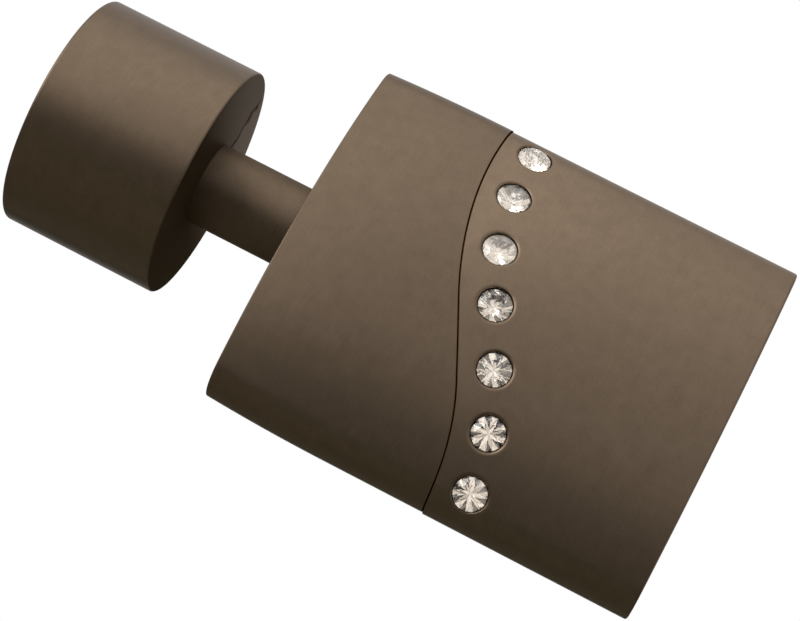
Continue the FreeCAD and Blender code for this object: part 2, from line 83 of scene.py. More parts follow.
camera_data = bpy.data.cameras.new("photo_camera")
camera = new_object("photo_camera", camera_data)
camera_data.sensor_width = SENSOR_WIDTH
camera_data.lens = FOCAL_PIXELS / PICTURE_WIDTH * SENSOR_WIDTH
camera_data.clip_start = NEAREST_SHOWN
turn = Matrix((CAMERA_RIGHT, -CAMERA_DOWN, -CAMERA_AHEAD)).transposed()
camera.matrix_world = Matrix.Translation(CAMERA_PLACE) @ turn.to_4x4()
bpy.context.scene.camera = camera
bpy.context.scene.view_settings.view_transform = "Standard"
print("lens %.1f mm" % camera_data.lens)

# %% [markdown]
# ## Helpers for node trees
# The finishes and the background are node trees, and so are the lathe and the setting of the
# stones. A tree could be wired by hand in Blender's editor, but then this file couldn't
# rebuild it. Written as code it takes many small steps: make a node, fill its sockets, link
# them. These helpers take those steps, so the cells below read as what is wired to what.

# %% Build the helpers for node trees
WHITE = (1.0, 1.0, 1.0, 1.0)
MIX_COLOR_A, MIX_COLOR_B, MIX_COLOR_OUT = 6, 7, 2


def fill(socket, given):
    """Give a socket a value or another node's output; a node stands for its first output."""
    if isinstance(given, bpy.types.Node):
        given = given.outputs[0]
    if isinstance(given, bpy.types.NodeSocket):
        socket.id_data.links.new(given, socket)
    else:
        socket.default_value = given


def add_node(tree, kind, **given):
    """A new node: settings in small letters come first, then sockets, with _ for a space."""
    node = tree.nodes.new(kind)
    for name, value in given.items():
        if name.islower():
            setattr(node, name, value)
        else:
            fill(node.inputs[name.replace("_", " ")], value)
    return node


def calculate(tree, operation, first, second):
    """A Math node on two numbers or outputs."""
    node = add_node(tree, "ShaderNodeMath", operation=operation)
    fill(node.inputs[0], first)
    fill(node.inputs[1], second)
    return node


def blend(tree, share, first, second):
    """Two shaders mixed; the share is how much of the second one shows."""
    node = add_node(tree, "ShaderNodeMixShader", Fac=share)
    fill(node.inputs[1], first)
    fill(node.inputs[2], second)
    return node


def mix_colors(tree, share, first, second):
    """A colour between two. A Mix node keeps sockets for each kind, so these go by number."""
    node = add_node(tree, "ShaderNodeMix", data_type="RGBA", Factor=share)
    fill(node.inputs[MIX_COLOR_A], first)
    fill(node.inputs[MIX_COLOR_B], second)
    return node.outputs[MIX_COLOR_OUT]


def ramp(tree, source, start, end, low, high):
    """From low to high between two places in millimetres, softly at both ends."""
    return add_node(tree, "ShaderNodeMapRange", interpolation_type="SMOOTHSTEP", Value=source,
                    From_Min=start * MM, From_Max=end * MM, To_Min=low, To_Max=high)


def new_material(name):
    """An empty material, its tree, and the socket that takes the finished surface."""
    material = bpy.data.materials.new(name)
    material.use_nodes = True
    tree = material.node_tree
    tree.nodes.clear()
    return material, tree, tree.nodes.new("ShaderNodeOutputMaterial").inputs["Surface"]


print("node helpers:", [helper.__name__ for helper in (add_node, calculate, blend, mix_colors)])

# %% [markdown]
# ## Background and floor
# Satin metal shows its surroundings as soft bands, so they are part of its look. The world is
# plain white where the camera, a reflection or a crystal looks at it, and much dimmer where it
# only lights the piece, so that a white background doesn't wash the metal out. A pale, slightly
# yellow floor lies far below, and the metal shows it as the dark band on its lower side. Glass
# sees the floor bright, because real stones gather light from all round the room. A picture of
# a studio could do the same, but plain surfaces are easier to change one at a time.

# %% Build the world and lay the floor
WORLD_FILL = 0.06
FLOOR_LEVEL = -700 * MM
FLOOR_RADIUS = 7.0
FLOOR_CENTRE = 3.8
FLOOR_SIDES = 96
FLOOR_COLOR = (0.78, 0.76, 0.60, 1.0)
FLOOR_ROUGHNESS = 0.9
FLOOR_GLOW = (1.0, 0.98, 0.96, 1.0)
FLOOR_IN_GLASS = 0.95


def build_world():
    """White where it is looked at, directly or in metal or glass, and dim as a light."""
    world = bpy.data.worlds.new("studio_world")
    bpy.context.scene.world = world
    world.use_nodes = True
    tree = world.node_tree
    tree.nodes.clear()
    rays = tree.nodes.new("ShaderNodeLightPath").outputs
    seen = calculate(tree, "ADD", rays["Is Camera Ray"], rays["Is Glossy Ray"])
    shown = calculate(tree, "ADD", seen, rays["Is Transmission Ray"])
    shown.use_clamp = True
    dim = add_node(tree, "ShaderNodeBackground", Color=WHITE, Strength=WORLD_FILL)
    white = add_node(tree, "ShaderNodeBackground", Color=WHITE, Strength=1.0)
    add_node(tree, "ShaderNodeOutputWorld", Surface=blend(tree, shown, dim, white))


def build_floor():
    """A wide round floor that is painted, and bright where a stone looks at it."""
    mesh = bpy.data.meshes.new("floor")
    shape = bmesh.new()
    bmesh.ops.create_circle(shape, cap_ends=True, segments=FLOOR_SIDES, radius=FLOOR_RADIUS)
    bmesh.ops.translate(shape, verts=shape.verts, vec=(0.0, FLOOR_CENTRE, FLOOR_LEVEL))
    shape.to_mesh(mesh)
    shape.free()
    material, tree, surface = new_material("pale_floor")
    paint = add_node(tree, "ShaderNodeBsdfPrincipled", Base_Color=FLOOR_COLOR,
                     Roughness=FLOOR_ROUGHNESS)
    glow = add_node(tree, "ShaderNodeEmission", Color=FLOOR_GLOW, Strength=FLOOR_IN_GLASS)
    rays = tree.nodes.new("ShaderNodeLightPath").outputs
    fill(surface, blend(tree, rays["Is Transmission Ray"], paint, glow))
    mesh.materials.append(material)
    floor = new_object("floor", mesh)


build_world()
build_floor()
print("floor at %.0f mm, %.0f m across" % (FLOOR_LEVEL / MM, 2 * FLOOR_RADIUS))

# %% [markdown]
# ## The lamps
# The photograph shows one soft bright band along every piece and calm, even rims. A single lamp
# would leave the rims dark, so four soft panels share the work. The key panel at the left makes
# the band. A wide dim one above fills the upper faces, and one behind lights the upper rims.
# The last only lights the floor behind the finial, and the floor lights the lower rims. Their
# places and sizes are in metres.

# %% Hang the panels
HEAD_CENTRE = (0.06, 0.0, 0.0)
FLOOR_BEHIND = (0.05, 1.3, -0.7)
PANELS = [
    # name, place, aim, width, height, radiance
    ("key_panel", (-0.55, -0.51, 0.09), HEAD_CENTRE, 0.5, 0.5, 5.5),
    ("top_panel", (-0.20, -0.43, 0.62), HEAD_CENTRE, 0.6, 0.8, 1.15),
    ("back_panel", (0.0, 0.25, 0.75), HEAD_CENTRE, 0.6, 0.8, 0.24),
    ("floor_panel", (0.05, 1.3, -0.1), FLOOR_BEHIND, 1.8, 1.2, 0.5),
]


def add_panel(name, place, aim, width, height, radiance):
    """A soft panel: an area light whose brightness is given per surface, not in all."""
    data = bpy.data.lights.new(name, "AREA")
    data.shape = "RECTANGLE"
    data.size = width
    data.size_y = height
    data.energy = radiance * math.pi * width * height
    panel = new_object(name, data)
    panel.location = place
    panel.rotation_mode = "QUATERNION"
    panel.rotation_quaternion = (Vector(aim) - Vector(place)).to_track_quat("-Z", "Y")
    panel.visible_camera = False


for panel_facts in PANELS:
    add_panel(*panel_facts)
print("panels:", [facts[0] for facts in PANELS])

# %% [markdown]
# ## The finishes
# The metal parts are brushed, stained brown and covered with a matt lacquer. What the eye
# reads is a broad soft reflection, very faint brush lines across the axis, a fine grain and
# faint blotches where the stain took unevenly. All come from one node group, because the cap,
# the neck and the head wear them, each at its own strength. The lines are noise that is
# squeezed along the axis, so it runs in streaks. The blotches change the colour only, while
# lines and grain are felt in the relief too. A photograph of brushed metal could be wrapped
# round the pieces, but noise needs no unwrapping and leaves no seam.

# %% Build the node group for brush lines, grain and blotches


def build_brushing_group():
    group = bpy.data.node_groups.new("brushed_grain", "ShaderNodeTree")
    for name, default in (("Line Width", 0.12), ("Line Length", 3.0), ("Grain Size", 0.25),
                          ("Blotch Size", 1.9), ("Line Strength", 0.5),
                          ("Grain Strength", 0.5), ("Blotch Strength", 0.7)):
        socket = group.interface.new_socket(name, in_out="INPUT",
                                            socket_type="NodeSocketFloat")
        socket.default_value = default
    for name in ("Variation", "Height"):
        group.interface.new_socket(name, in_out="OUTPUT", socket_type="NodeSocketFloat")
    given = group.nodes.new("NodeGroupInput").outputs
    place = group.nodes.new("ShaderNodeTexCoord").outputs["Object"]

    def fineness(size):
        """How often a pattern of this size, in millimetres, repeats in a metre."""
        return calculate(group, "DIVIDE", 1.0 / MM, given[size])

    def pattern(vector, scale, detail, strength):
        """Noise to both sides of zero, as strong as the named input says."""
        noise = add_node(group, "ShaderNodeTexNoise", Vector=vector, Scale=scale, Detail=detail)
        return calculate(group, "MULTIPLY", calculate(group, "SUBTRACT", noise, 0.5),
                         given[strength])

    across = fineness("Line Length")
    squeeze = add_node(group, "ShaderNodeCombineXYZ", X=fineness("Line Width"), Y=across,
                       Z=across)
    stretched = add_node(group, "ShaderNodeVectorMath", operation="MULTIPLY", Vector=place)
    fill(stretched.inputs[1], squeeze)
    lines = pattern(stretched, 1.0, detail=2.0, strength="Line Strength")
    grain = pattern(place, fineness("Grain Size"), detail=1.0, strength="Grain Strength")
    blotches = pattern(place, fineness("Blotch Size"), detail=2.0, strength="Blotch Strength")
    felt = calculate(group, "ADD", lines, grain)
    add_node(group, "NodeGroupOutput", Variation=calculate(group, "ADD", felt, blotches),
             Height=felt)
    return group


brushing = build_brushing_group()
print("brushing group:", [item.name for item in brushing.interface.items_tree])

# %% [markdown]
# Each metal finish is the same small tree with its own numbers. The pattern moves the colour a
# little either way and presses a shallow relief. The edge tint keeps the lacquer from turning
# white where it is seen at a slant. On the far part the colour is painted lighter towards the
# upper side, as the photograph shows: painted light by the height on the piece, not the view.

# %% Build the metal finishes
RELIEF_STRENGTH = 0.25
RELIEF_DEPTH = 0.02 * MM
PAINTED_LIGHT_HEIGHTS = (-8.0, 15.0)
EDGE_TINT = (0.75, 0.75, 0.75, 1.0)
DULL_TINT = (0.5, 0.5, 0.5, 1.0)
SHADED_TINT = (0.3, 0.3, 0.3, 1.0)
BROWN = (0.1165, 0.0840, 0.0577)
SEAM_SHADE_BROWN = (0.060, 0.034, 0.014)
STEEL_GREY = (0.52, 0.52, 0.53)


def brushed_metal(name, color, roughness, lines, grain, change, edge_tint=WHITE, lift=0.0):
    """Satin metal; lines and grain are strengths, change and lift are shares of the colour.
    Lift is painted light: the colour is made lighter towards the upper side.
    """
    material, tree, surface = new_material(name)
    pattern = add_node(tree, "ShaderNodeGroup", node_tree=brushing, Line_Strength=lines,
                       Grain_Strength=grain)
    spread = add_node(tree, "ShaderNodeMapRange", Value=pattern.outputs["Variation"],
                      From_Min=-0.5, From_Max=0.5, To_Min=0.0, To_Max=1.0)
    dark = tuple(c * (1.0 - change) for c in color)
    light = tuple(c * (1.0 + change) for c in color)
    stain = mix_colors(tree, spread, (*dark, 1.0), (*light, 1.0))
    if lift:
        # painted light: the colour is made lighter towards the upper side of the piece
        place = tree.nodes.new("ShaderNodeTexCoord").outputs["Object"]
        height = add_node(tree, "ShaderNodeSeparateXYZ", Vector=place).outputs["Z"]
        painted_top_light = ramp(tree, height, *PAINTED_LIGHT_HEIGHTS, 1.0, 1.0 + lift)
        stain = add_node(tree, "ShaderNodeVectorMath", operation="SCALE", Vector=stain,
                         Scale=painted_top_light)
    relief = add_node(tree, "ShaderNodeBump", Strength=RELIEF_STRENGTH, Distance=RELIEF_DEPTH,
                      Height=pattern.outputs["Height"])
    fill(surface, add_node(tree, "ShaderNodeBsdfPrincipled", Metallic=1.0, Roughness=roughness,
                           Specular_Tint=edge_tint, Base_Color=stain, Normal=relief))
    return material


LACQUERED = {"roughness": 0.42, "lines": 0.6, "grain": 0.5, "change": 0.18,
             "edge_tint": EDGE_TINT}
brown_metal = brushed_metal("lacquered_brown_metal", BROWN, **LACQUERED)
# the far part's colour carries painted light, lighter towards its upper side
outer_metal_painted_light = brushed_metal("lacquered_outer_metal", BROWN, **LACQUERED, lift=0.18)
neck_metal = brushed_metal("dull_neck_metal", BROWN, roughness=0.52, lines=0.6, grain=0.7,
                           change=0.20, edge_tint=DULL_TINT)
# painted shade: the seam's wall and the rounds beside it are painted dark brown
seam_shade_metal = brushed_metal("shaded_seam_metal", SEAM_SHADE_BROWN, roughness=0.50, lines=0.4,
                           grain=0.5, change=0.12, edge_tint=SHADED_TINT)
steel = brushed_metal("brushed_steel", STEEL_GREY, roughness=0.35, lines=0.6, grain=0.4,
                      change=0.12)
print("finishes:", [m.name for m in (brown_metal, outer_metal_painted_light, neck_metal, seam_shade_metal, steel)])

# %% [markdown]
# The end face of the cap was never brushed. Low down it is painted shade: matt and dark brown,
# growing more metallic and lighter towards the upper rim. One fine dark line crosses the upper
# half, a little ragged, and past it the face is painted lighter, as painted light past a
# shadow's edge. The line could be cut into the mesh, but at this width only its tone is seen.
# How metallic the face is follows the place on it, so the finish stays where it is when the
# view changes.

# %% Build the finish of the cap's end face
END_BROWN = (0.124, 0.087, 0.053, 1.0)
END_ROUGHNESS = 0.5
# painted shade: the face is matt and dark low down and more metallic higher up
PAINTED_SHADE_HEIGHTS = (-6.0, 13.0)
PAINTED_SHADE_METALLIC = (0.02, 0.50)
DARK_LINE_ACROSS = 1.4
DARK_LINE_ENDS = (6.5, 14.6)
DARK_LINE_FADES = (1.0, 0.5)
DARK_LINE_WIDTH = 0.9
DARK_LINE_WANDER = 1.6
DARK_LINE_WANDER_LENGTH = 2.2
# painted light: past the dark line the face is painted lighter
PAINTED_LIGHT_SIDES = (0.88, 1.15)
SIDE_BLEND = 0.3


def end_face_finish_with_painted_shade():
    material, tree, surface = new_material("matt_end_metal")
    place = tree.nodes.new("ShaderNodeTexCoord").outputs["Object"]
    axes = add_node(tree, "ShaderNodeSeparateXYZ", Vector=place).outputs
    ragged = add_node(tree, "ShaderNodeTexNoise", Vector=place, Detail=1.0,
                      Scale=1.0 / (DARK_LINE_WANDER_LENGTH * MM))
    wander = add_node(tree, "ShaderNodeMapRange", Value=ragged, To_Min=-DARK_LINE_WANDER * MM,
                      To_Max=DARK_LINE_WANDER * MM)
    across = calculate(tree, "ADD", axes["Y"], wander)
    # painted shade: the face is matt and dark low down, more metallic towards the upper rim
    painted_shade_by_height = ramp(tree, axes["Z"], *PAINTED_SHADE_HEIGHTS, *PAINTED_SHADE_METALLIC)
    # painted light: past the dark line the face is painted lighter
    painted_light_past_line = ramp(tree, across, DARK_LINE_ACROSS - SIDE_BLEND, DARK_LINE_ACROSS + SIDE_BLEND,
                  *PAINTED_LIGHT_SIDES)
    left = ramp(tree, across, DARK_LINE_ACROSS - DARK_LINE_WIDTH, DARK_LINE_ACROSS, 1.0, 0.0)
    right = ramp(tree, across, DARK_LINE_ACROSS, DARK_LINE_ACROSS + DARK_LINE_WIDTH, 0.0, 1.0)
    low, high = DARK_LINE_ENDS
    under = ramp(tree, axes["Z"], low - DARK_LINE_FADES[0], low, 1.0, 0.0)
    over = ramp(tree, axes["Z"], high, high + DARK_LINE_FADES[1], 0.0, 1.0)
    clear = left
    for away in (right, under, over):
        clear = calculate(tree, "MAXIMUM", clear, away)
    metal = calculate(tree, "MULTIPLY", calculate(tree, "MULTIPLY", painted_shade_by_height, painted_light_past_line), clear)
    fill(surface, add_node(tree, "ShaderNodeBsdfPrincipled", Base_Color=END_BROWN,
                           Roughness=END_ROUGHNESS, Specular_IOR_Level=0.0,
                           Specular_Tint=EDGE_TINT, Metallic=metal))
    return material


end_face_painted_shade_metal = end_face_finish_with_painted_shade()
print("end face: dark_line from z %.1f to %.1f" % DARK_LINE_ENDS)

# %% [markdown]
# The crystals are clear glass stones with silver foil behind their lower facets. Light goes
# in through the top, is thrown back by the foil and leaves through another facet, which gives
# the star of bright and dark wedges. That could be painted on, but it would not change with
# the view, so the glass and the foil are two real materials on the same closed stone. The
# wedges are partly painted as well: each facet's foil has a tone by the way it faces, a painted
# reflection, and the foil of the upper three stones is painted brighter, as painted light. Both
# are stored on the stones as attributes, which the foil reads.

# %% Build the glass and the foil
CRYSTAL_IOR = 1.56
FOIL_DARK = (0.12, 0.11, 0.10, 1.0)
FOIL_LIGHT = (1.0, 0.94, 0.87, 1.0)
FOIL_METALLIC = (0.95, 0.60)
FOIL_ROUGHNESS = 0.05


def clear_glass():
    material, tree, surface = new_material("clear_crystal")
    fill(surface, add_node(tree, "ShaderNodeBsdfPrincipled", Base_Color=WHITE, Roughness=0.0,
                           IOR=CRYSTAL_IOR, Transmission_Weight=1.0))
    return material


def foil_behind_stones():
    """Silver foil with a tone per facet, a painted reflection.
    A stone's painted light lifts every facet's tone and makes it look a little milky.
    """
    material, tree, surface = new_material("silver_foil")
    # painted reflection per facet and painted light per stone, both read from the stone
    wedge_tone = add_node(tree, "ShaderNodeAttribute", attribute_name="foil_tone").outputs["Fac"]
    painted_stone_light = add_node(tree, "ShaderNodeAttribute",
                      attribute_name="foil_brightness").outputs["Fac"]
    lift = add_node(tree, "ShaderNodeMapRange", Value=painted_stone_light, To_Min=wedge_tone)
    milky = add_node(tree, "ShaderNodeMapRange", Value=painted_stone_light, To_Min=FOIL_METALLIC[0],
                     To_Max=FOIL_METALLIC[1])
    fill(surface, add_node(tree, "ShaderNodeBsdfPrincipled", Roughness=FOIL_ROUGHNESS,
                           Base_Color=mix_colors(tree, lift, FOIL_DARK, FOIL_LIGHT),
                           Metallic=milky))
    return material


glass = clear_glass()
foil = foil_behind_stones()
print("stone finishes:", glass.name, foil.name)

# %% [markdown]
# ## Turned pieces
# The cap and the neck are turned on a lathe, so one half section says all about them. A
# spun mesh could do it, but here a small Geometry Nodes tree does: the section is a closed
# line, its corners are rounded by a fillet, and it is swept once round the axis. The same
# tree then makes both pieces, and a corner's radius stays a number that can be changed.

# %% Build the lathe tree
LATHE_CORE = 0.001 * MM


def new_tree(name, inputs):
    """A Geometry Nodes tree, what its named inputs give, and the socket of its result."""
    tree = bpy.data.node_groups.new(name, "GeometryNodeTree")
    for label, kind in [("Geometry", "NodeSocketGeometry")] + inputs:
        tree.interface.new_socket(label, in_out="INPUT", socket_type=kind)
    tree.interface.new_socket("Geometry", in_out="OUTPUT", socket_type="NodeSocketGeometry")
    given = tree.nodes.new("NodeGroupInput").outputs
    return tree, given, tree.nodes.new("NodeGroupOutput").inputs["Geometry"]


def build_lathe_tree():
    tree, given, result = new_tree("lathe", [
        ("Sides", "NodeSocketInt"), ("Corner Steps", "NodeSocketInt"),
        ("Finish", "NodeSocketMaterial")])
    section = add_node(tree, "GeometryNodeMeshToCurve", Mesh=given["Geometry"])
    corner = add_node(tree, "GeometryNodeInputNamedAttribute", data_type="FLOAT",
                      Name="corner")
    rounded = add_node(tree, "GeometryNodeFilletCurve", mode="POLY", Curve=section,
                       Radius=corner, Count=given["Corner Steps"])
    core = add_node(tree, "GeometryNodeCurvePrimitiveCircle", Radius=LATHE_CORE,
                    Resolution=given["Sides"])
    sweep = add_node(tree, "GeometryNodeCurveToMesh", Curve=core, Profile_Curve=rounded)
    lay_down = add_node(tree, "GeometryNodeTransform", Geometry=sweep,
                        Rotation=(0.0, -math.pi / 2, 0.0))
    smooth = add_node(tree, "GeometryNodeSetShadeSmooth", Geometry=lay_down)
    real = add_node(tree, "GeometryNodeRealizeInstances", Geometry=smooth)
    fill(result, add_node(tree, "GeometryNodeSetMaterial", Geometry=real,
                          Material=given["Finish"]))
    return tree


lathe_tree = build_lathe_tree()
print("lathe tree: %d nodes" % len(lathe_tree.nodes))

# %% [markdown]
# The tree is run once for each piece: the section goes in as a ring of edges with a rounding at
# every corner, and a plain mesh comes out. The modifier is gone by then, so nothing is left to
# change the piece later.

# %% Say how a piece is turned
LATHE_SIDES = 128
CORNER_STEPS = 5
FLAT_ANGLE = math.radians(35.0)


def run_tree(name, mesh, tree, **inputs):
    """Put the tree on a mesh, turn its result into a plain mesh and return that object."""
    piece = new_object(name, mesh)
    modifier = piece.modifiers.new(tree.name, "NODES")
    modifier.node_group = tree
    for socket in tree.interface.items_tree:
        label = socket.name.replace(" ", "_")
        if socket.in_out == "INPUT" and label in inputs:
            modifier[socket.identifier] = inputs[label]
    return bake(piece)


def bake(piece):
    """Replace a piece's mesh by what its modifiers make of it."""
    bpy.context.view_layer.update()
    graph = bpy.context.evaluated_depsgraph_get()
    made = bpy.data.meshes.new_from_object(piece.evaluated_get(graph))
    made.name = piece.name
    piece.modifiers.clear()
    piece.data = made
    return piece


def keep_flats_flat(piece):
    """Shade large flats as flats and let only the rounded corners between them turn."""
    piece.data.set_sharp_from_angle(angle=FLAT_ANGLE)
    weighted = piece.modifiers.new("weighted", "WEIGHTED_NORMAL")
    weighted.keep_sharp = True
    return bake(piece)


def turned(name, section, finish):
    """A piece turned about the pole's axis, from corners given as (x, radius, rounding)."""
    mesh = bpy.data.meshes.new(name)
    corners = [(radius * MM, x * MM, 0.0) for x, radius, _ in section]
    count = len(corners)
    mesh.from_pydata(corners, [(i, (i + 1) % count) for i in range(count)], [])
    rounding = mesh.attributes.new("corner", "FLOAT", "POINT")
    for entry, (_, _, radius) in zip(rounding.data, section):
        entry.value = radius * MM
    return run_tree(name, mesh, lathe_tree, Sides=LATHE_SIDES, Corner_Steps=CORNER_STEPS,
                    Finish=finish)


def node_size(name):
    """A measured node's lowest and highest corner, in millimetres."""
    low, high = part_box(name)
    return low / MM, high / MM


print("turned with %d sides" % LATHE_SIDES)

# %% [markdown]
# The cap is a cup: a thin wall that slides over the pole and a thicker floor that carries the
# neck. Its two outer rims are softly rounded. Cylinders could be cut out of each other, but
# one turned section says the bore, the floor and both rims at once. A grub screw at the back
# holds the cap on the pole, so a hole is drilled there, and its edge is left crisp.

# %% Turn the cap and drill it
cap_high = node_size("end_cap")[1]
cap_radius = cap_high.z
cap_length = cap_high.x
SOCKET_RADIUS = 14.3
SOCKET_DEPTH = 18.0
CAP_EDGE_ROUND = 0.3
MOUTH_EDGE_ROUND = 0.2
SCREW_HOLE_RADIUS = 2.75
COUNTERSINK_RADIUS = 5.35
GRUB_HOLE_RADIUS = 1.55
DRILL_SIDES = 48
DRILL_LENGTH = 8.0
END_FACE_TURN = 0.8
END_FACE_DEPTH = 0.3
sink_end = SOCKET_DEPTH + COUNTERSINK_RADIUS - SCREW_HOLE_RADIUS


def drill_grub_hole(piece):
    """Bore the set screw's hole through the wall at the back."""
    low, high = node_size("grub_screw")
    place = Matrix.Translation(((low.x + high.x) / 2 * MM, cap_radius * MM, 0.0))
    shape = bmesh.new()
    bmesh.ops.create_cone(shape, cap_ends=True, segments=DRILL_SIDES, depth=DRILL_LENGTH * MM,
                          radius1=GRUB_HOLE_RADIUS * MM, radius2=GRUB_HOLE_RADIUS * MM,
                          matrix=place @ Matrix.Rotation(math.pi / 2, 4, "X"))
    mesh = bpy.data.meshes.new("drill")
    shape.to_mesh(mesh)
    shape.free()
    drill = new_object("drill", mesh)
    bored = piece.modifiers.new("bored", "BOOLEAN")
    bored.operation = "DIFFERENCE"
    bored.solver = "EXACT"
    bored.object = drill
    bake(piece)
    bpy.data.objects.remove(drill)


cap = turned("turned_cap", [
    (0.0, SOCKET_RADIUS, MOUTH_EDGE_ROUND),
    (0.0, cap_radius, CAP_EDGE_ROUND),
    (cap_length, cap_radius, CAP_EDGE_ROUND),
    (cap_length, SCREW_HOLE_RADIUS, 0.0),
    (sink_end, SCREW_HOLE_RADIUS, 0.0),
    (SOCKET_DEPTH, COUNTERSINK_RADIUS, 0.0),
    (SOCKET_DEPTH, SOCKET_RADIUS, MOUTH_EDGE_ROUND),
], brown_metal)
drill_grub_hole(cap)
# the end face takes the finish with painted shade low down and painted light past its dark line
cap.data.materials.append(end_face_painted_shade_metal)
for face in cap.data.polygons:
    at_end = face.center.x > (cap_length - END_FACE_DEPTH) * MM
    if face.normal.x > END_FACE_TURN and at_end:
        face.material_index = 1
keep_flats_flat(cap)
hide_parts("end_cap")
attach(cap, "root")
print("cap: radius %.1f, length %.1f mm, %d faces" % (
    cap_radius, cap_length, len(cap.data.polygons)))

# %% [markdown]
# The neck is a plain round bar with a hole for the fixing screw. A cylinder would do as well,
# but the lathe makes the hole in the same turn. Both ends are hidden against the cap and the
# head, so the edges stay sharp and it sits tight between them. Its lacquer is duller than on
# the rest.

# %% Turn the neck
neck_low, neck_high = node_size("neck_spacer")
neck = turned("turned_neck", [
    (neck_low.x, SCREW_HOLE_RADIUS, 0.0),
    (neck_low.x, neck_high.z, 0.0),
    (neck_high.x, neck_high.z, 0.0),
    (neck_high.x, SCREW_HOLE_RADIUS, 0.0),
], neck_metal)
keep_flats_flat(neck)
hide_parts("neck_spacer")
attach(neck, "root")
print("neck: radius %.1f mm" % neck_high.z)

# %% [markdown]
# ## The oval head
# The head's section is an oval of four arcs: two broad faces and two round tips, each running
# smoothly into the next. A box with a subdivision surface would come near, but its section
# would not be these arcs. So the surface is a formula: a place along the axis and a place
# round the section give a point and the direction that the surface faces there. Every vertex
# is put on that formula and told that direction, and the shading stays smooth however the
# surface is divided.

# %% Say where the head's surface is
head_low = node_size("inner_body")[0]
far_low, far_high = node_size("outer_body")
HEAD_START = head_low.x
HEAD_END = far_high.x
HALF_WIDTH = (far_high.z - far_low.z) / 2
HALF_THICKNESS = far_high.y
STEP_DOWN = -(far_high.z + far_low.z) / 2
TIP_RADIUS = 5.0
CROWN_LENGTH = 17.0
CROWN_DROP = 0.55


def oval_arcs(drop):
    """Centre, radius and first and last angle of the arcs, from the middle of the back."""
    width = HALF_WIDTH - drop
    thick = HALF_THICKNESS - drop
    reach = width - TIP_RADIUS
    broad = (reach ** 2 + thick ** 2 - TIP_RADIUS ** 2) / (2 * (thick - TIP_RADIUS))
    turn = math.asin(reach / (broad - TIP_RADIUS))
    shift = broad - thick
    return [
        (-shift, 0.0, broad, 0.0, turn),
        (0.0, reach, TIP_RADIUS, turn, math.pi - turn),
        (shift, 0.0, broad, math.pi - turn, math.pi + turn),
        (0.0, -reach, TIP_RADIUS, math.pi + turn, 2 * math.pi - turn),
        (-shift, 0.0, broad, -turn, 0.0),
    ]


PLAIN_OVAL = oval_arcs(0.0)
ARC_LENGTHS = [radius * (last - first) for _, _, radius, first, last in PLAIN_OVAL]
GIRTH = sum(ARC_LENGTHS)
BROAD_RADIUS = max(radius for _, _, radius, _, _ in PLAIN_OVAL)


def crown(x):
    """How far the surface has dropped at this x, and how fast it still rises."""
    left = 1.0 - (x - HEAD_START) / CROWN_LENGTH
    if left <= 0.0:
        return 0.0, 0.0
    return CROWN_DROP * left ** 2, 2.0 * CROWN_DROP * left / CROWN_LENGTH


def head_surface(x, around, drop, rise, level):
    """Point and outward direction at a place along the axis and round the girth."""
    rest = around % GIRTH
    for number, length in enumerate(ARC_LENGTHS):
        if rest <= length or number == len(ARC_LENGTHS) - 1:
            break
        rest -= length
    across, up, radius, first, last = oval_arcs(drop)[number] if drop else PLAIN_OVAL[number]
    angle = first + (last - first) * rest / length
    y, z = math.cos(angle), math.sin(angle)
    point = Vector((x, across + radius * y, up + radius * z + level))
    return point, Vector((-rise, y, z)).normalized()


print("girth %.1f mm, broad faces of radius %.1f mm" % (GIRTH, BROAD_RADIUS))

# %% [markdown]
# The seam is an arc, a short straight and an arc the other way, cut straight through the
# head. It could be drawn as a spline by eye, but three simple pieces fit the photograph. The
# same line, moved sideways, also gives the rounded edges beside the gap and the line that the
# crystals follow, so one function answers for all of them.

# %% Say where the seam runs
SEAM_START = 18.0
SEAM_CREST_HEIGHT = 20.5
SEAM_UPPER_RADIUS = 51.7
SEAM_ANGLE = math.radians(26.0)
SEAM_STRAIGHT = 10.75
SEAM_LOWER_RADIUS = 33.2
SEAM_GAP = 0.1
LEAN, UPRIGHT = math.sin(SEAM_ANGLE), math.cos(SEAM_ANGLE)
seam_upper_centre = (HEAD_START + SEAM_START + SEAM_UPPER_RADIUS, SEAM_CREST_HEIGHT)
seam_bend_top = (seam_upper_centre[0] - SEAM_UPPER_RADIUS * UPRIGHT,
                 seam_upper_centre[1] - SEAM_UPPER_RADIUS * LEAN)
seam_bend_low = (seam_bend_top[0] + SEAM_STRAIGHT * LEAN,
                 seam_bend_top[1] - SEAM_STRAIGHT * UPRIGHT)
seam_lower_centre = (seam_bend_low[0] - SEAM_LOWER_RADIUS * UPRIGHT,
                     seam_bend_low[1] - SEAM_LOWER_RADIUS * LEAN)


def seam_x(height, offset):
    """Where the seam, moved sideways by the offset, stands at this height."""
    if height > seam_bend_top[1] + offset * LEAN:
        reach = SEAM_UPPER_RADIUS - offset
        return seam_upper_centre[0] - math.sqrt(
            reach ** 2 - (height - seam_upper_centre[1]) ** 2)
    if height > seam_bend_low[1] + offset * LEAN:
        along = seam_bend_top[1] + offset * LEAN - height
        return seam_bend_top[0] + offset * UPRIGHT + along * math.tan(SEAM_ANGLE)
    reach = SEAM_LOWER_RADIUS + offset
    rise = max(height - seam_lower_centre[1], 0.0)
    return seam_lower_centre[0] + math.sqrt(reach ** 2 - rise ** 2)


print("seam from x %.1f at the top to %.1f at the foot" % (
    seam_x(HALF_WIDTH, 0.0), seam_x(-HALF_WIDTH, 0.0)))

# %% [markdown]
# A mesh whose every corner knows its direction needs a little bookkeeping. The builder below
# merges points that meet, keeps the direction for each face corner, and hands all of it to
# Blender at the end. A flat face simply gives its own direction to all its corners. Blender
# can work out directions from the faces by itself, but on faces of uneven size such shading
# shows ripples. To find points that meet, space is divided into small cells that overlap, so
# that two close points always share a cell.

# %% Build the helper that collects faces
CELLS_PER_MM = 500.0
CELL_SHIFTS = (0.25, 0.75)


